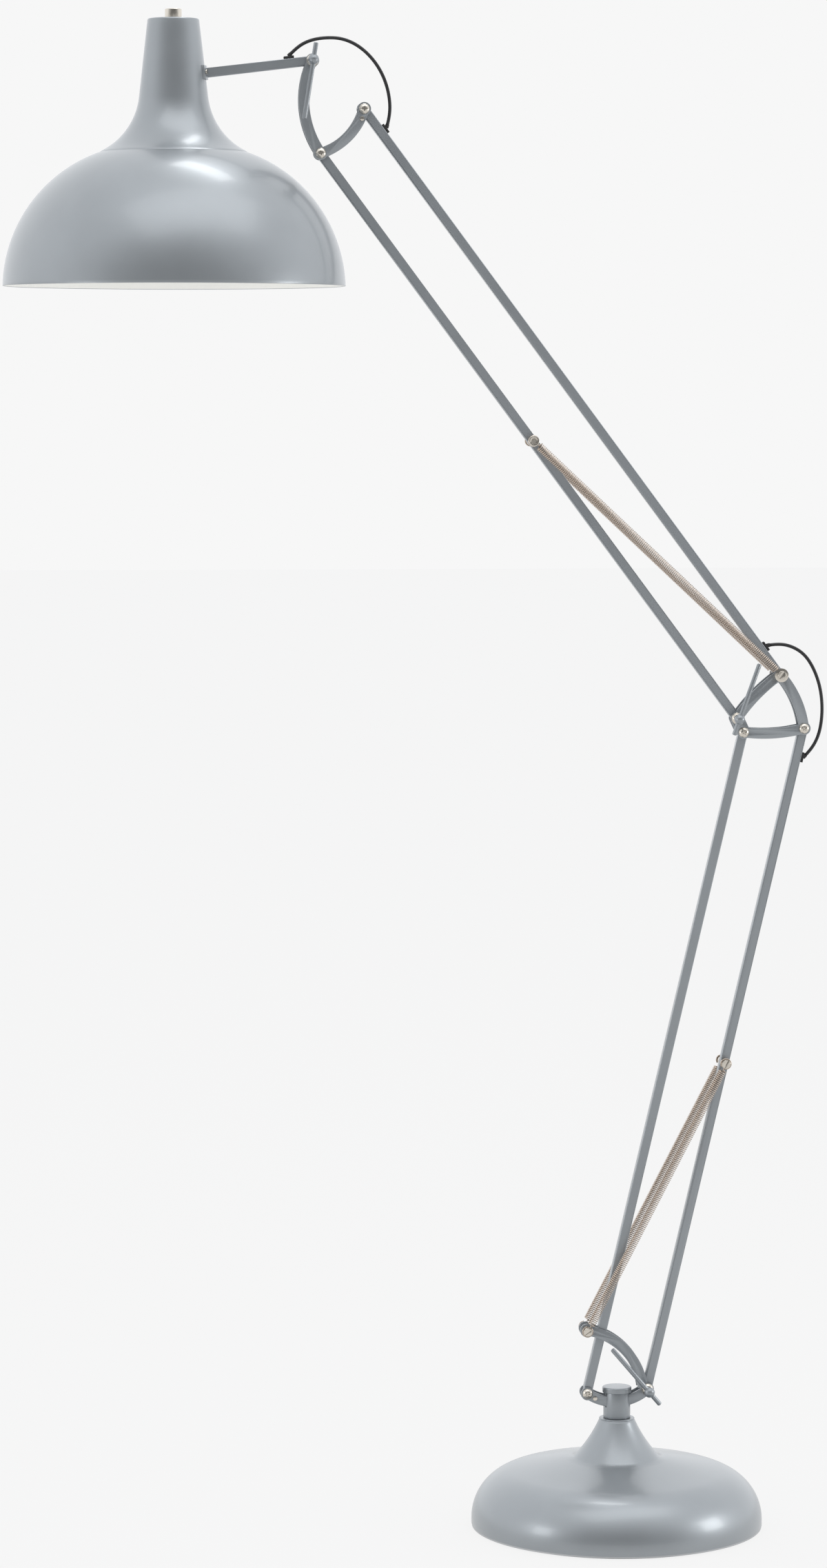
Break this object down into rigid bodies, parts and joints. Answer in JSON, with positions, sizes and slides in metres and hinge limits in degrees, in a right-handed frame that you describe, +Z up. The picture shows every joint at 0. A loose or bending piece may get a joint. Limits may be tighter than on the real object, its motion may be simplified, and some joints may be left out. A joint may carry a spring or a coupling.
{
  "type": "adjustable arm floor lamp",
  "caption": "Floor lamp with a weighted round base, two spring-balanced pairs of parallel arms with clamp knobs, and a wide tilting dome shade.",
  "frame": {"origin": "centre of the base on the floor", "axes": "+Z up; the arms lie in the XZ plane and reach to the shade on the -X side; the clamp knobs face -Y"},
  "size_m": [0.974, 0.4014, 1.808],
  "materials": {
    "grey_paint": "satin",
    "knob_paint": "satin",
    "bright_steel": "polished",
    "spring_wire": "polished",
    "plain_steel": "brushed",
    "ballast_iron": "rough",
    "bush_plastic": "matte",
    "black_rubber": "matte",
    "cable_cover": "matte",
    "holder_plastic": "gloss",
    "base_felt": "felt"
  },
  "bodies": {
    "base": {"base_cover": "grey_paint", "base_plate": "plain_steel", "base_pad": "base_felt", "base_ballast": "ballast_iron", "ballast_screws": "plain_steel", "swivel_tube": "plain_steel", "swivel_bushes": "bush_plastic", "collar_ring": "grey_paint", "cable_gland": "black_rubber"},
    "post": {"post_tube": "grey_paint", "post_cap": "grey_paint", "swivel_spindle": "plain_steel", "base_bracket_plates": "grey_paint", "bracket_studs": "bright_steel", "base_pivot_bolt": "bright_steel", "base_clamp_bolt": "bright_steel", "base_clamp_washer": "bright_steel"},
    "base_knob": {"base_knob": "knob_paint"},
    "lower_main_arm": {"lower_main_bar": "grey_paint", "lower_main_bushes": "bush_plastic", "lower_bar_studs": "bright_steel", "lower_arm_grommet": "black_rubber"},
    "lower_link_arm": {"lower_link_bar": "grey_paint", "lower_link_bushes": "bush_plastic"},
    "lower_spring_foot": {"lower_spring_coils": "spring_wire"},
    "lower_spring_head": {"lower_spring_hooks": "spring_wire"},
    "elbow": {"elbow_plates": "grey_paint", "elbow_pivot_bolts": "bright_steel", "elbow_clamp_bolt": "bright_steel", "elbow_clamp_washer": "bright_steel", "elbow_spring_bolt": "bright_steel", "elbow_cable_loop": "cable_cover"},
    "elbow_knob": {"elbow_knob": "knob_paint"},
    "upper_main_arm": {"upper_main_bar": "grey_paint", "upper_main_bushes": "bush_plastic", "upper_arm_grommets": "black_rubber"},
    "upper_link_arm": {"upper_link_bar": "grey_paint", "upper_link_bushes": "bush_plastic", "upper_bar_studs": "bright_steel"},
    "upper_spring_foot": {"upper_spring_coils": "spring_wire"},
    "upper_spring_head": {"upper_spring_hooks": "spring_wire"},
    "head_bracket": {"head_plates": "grey_paint", "head_pivot_bolts": "bright_steel", "head_rivets": "bright_steel", "head_clamp_bolt": "bright_steel", "head_clamp_washer": "bright_steel", "head_cable_loop": "cable_cover"},
    "head_knob": {"head_knob": "knob_paint"},
    "head": {"head_bar": "grey_paint", "head_bar_bush": "bush_plastic", "head_bar_grommet": "black_rubber", "saddle_plate": "grey_paint", "saddle_screws": "bright_steel", "shade_neck": "grey_paint", "shade_dome": "grey_paint", "lampholder": "holder_plastic", "lampholder_ring": "holder_plastic", "lampholder_carrier": "plain_steel", "switch_body": "holder_plastic"},
    "switch_button": {"switch_button": "bright_steel"}
  },
  "joints": [
    {"name": "base_swivel", "type": "hinge", "parent": "base", "child": "post", "pos_m": [0, 0, 0.133], "axis": [0, 0, 1], "range_deg": [-170, 170]},
    {"name": "lower_arm", "type": "hinge", "parent": "post", "child": "lower_main_arm", "pos_m": [0.036, 0, 0.1675], "axis": [0, 1, 0], "range_deg": [-14, 22]},
    {"name": "lower_link", "type": "hinge", "parent": "post", "child": "lower_link_arm", "pos_m": [-0.03648, 0, 0.16326], "axis": [0, 1, 0], "range_deg": [-14.5, 22.5]},
    {"name": "elbow_level", "type": "hinge", "parent": "lower_main_arm", "child": "elbow", "pos_m": [0.22108, 0, 0.96285], "axis": [0, 1, 0], "range_deg": [-22.5, 14.5], "deforming": ["elbow_cable_loop"]},
    {"name": "lower_spring_turn", "type": "hinge", "parent": "post", "child": "lower_spring_foot", "pos_m": [-0.0377, 0, 0.2403], "axis": [0, 1, 0], "range_deg": [-16, 24.5]},
    {"name": "lower_spring_stretch", "type": "slide", "parent": "lower_spring_foot", "child": "lower_spring_head", "axis": [0.4575, 0, 0.8892], "range_m": [-0.026, 0.041], "deforming": ["lower_spring_coils", "lower_spring_hooks"]},
    {"name": "upper_arm", "type": "hinge", "parent": "elbow", "child": "upper_main_arm", "pos_m": [0.19188, 0, 1.02715], "axis": [0, 1, 0], "range_deg": [-28, 18]},
    {"name": "upper_link", "type": "hinge", "parent": "elbow", "child": "upper_link_arm", "pos_m": [0.14068, 0, 0.9754], "axis": [0, 1, 0], "range_deg": [-28.5, 18.5]},
    {"name": "head_level", "type": "hinge", "parent": "upper_main_arm", "child": "head_bracket", "pos_m": [-0.30433, 0, 1.69311], "axis": [0, 1, 0], "range_deg": [-18.5, 28.5], "deforming": ["head_cable_loop"]},
    {"name": "upper_spring_turn", "type": "hinge", "parent": "elbow", "child": "upper_spring_foot", "pos_m": [0.19188, 0, 1.02715], "axis": [0, 1, 0], "range_deg": [-29, 19]},
    {"name": "upper_spring_stretch", "type": "slide", "parent": "upper_spring_foot", "child": "upper_spring_head", "axis": [-0.73, 0, 0.6834], "range_m": [-0.024, 0.036], "deforming": ["upper_spring_coils", "upper_spring_hooks"]},
    {"name": "head_tilt", "type": "hinge", "parent": "head_bracket", "child": "head", "pos_m": [-0.36503, 0, 1.74901], "axis": [0, 1, 0], "range_deg": [-8, 60]},
    {"name": "base_knob_turn", "type": "hinge", "parent": "post", "child": "base_knob", "pos_m": [0.036, 0, 0.1675], "axis": [0, 1, 0], "range_deg": [-90, 180]},
    {"name": "elbow_knob_turn", "type": "hinge", "parent": "elbow", "child": "elbow_knob", "pos_m": [0.14068, 0, 0.9754], "axis": [0, 1, 0], "range_deg": [-180, 180]},
    {"name": "head_knob_turn", "type": "hinge", "parent": "head_bracket", "child": "head_knob", "pos_m": [-0.36503, 0, 1.74901], "axis": [0, 1, 0], "range_deg": [-180, 180]},
    {"name": "switch_press", "type": "slide", "parent": "head", "child": "switch_button", "axis": [0, 0, -1], "range_m": [0, 0.003], "stiffness_N_per_m": 300}
  ],
  "couplings": [
    {"joint": "lower_link", "follows": "lower_arm", "ratio": 1},
    {"joint": "elbow_level", "follows": "lower_arm", "ratio": -1},
    {"joint": "lower_spring_turn", "follows": "lower_arm", "ratio": 1.0665},
    {"joint": "lower_spring_stretch", "follows": "lower_arm", "m_per_rad": 0.099},
    {"joint": "upper_link", "follows": "upper_arm", "ratio": 1},
    {"joint": "head_level", "follows": "upper_arm", "ratio": -1},
    {"joint": "upper_spring_turn", "follows": "upper_arm", "ratio": 0.9825},
    {"joint": "upper_spring_stretch", "follows": "upper_arm", "m_per_rad": -0.0705}
  ]
}
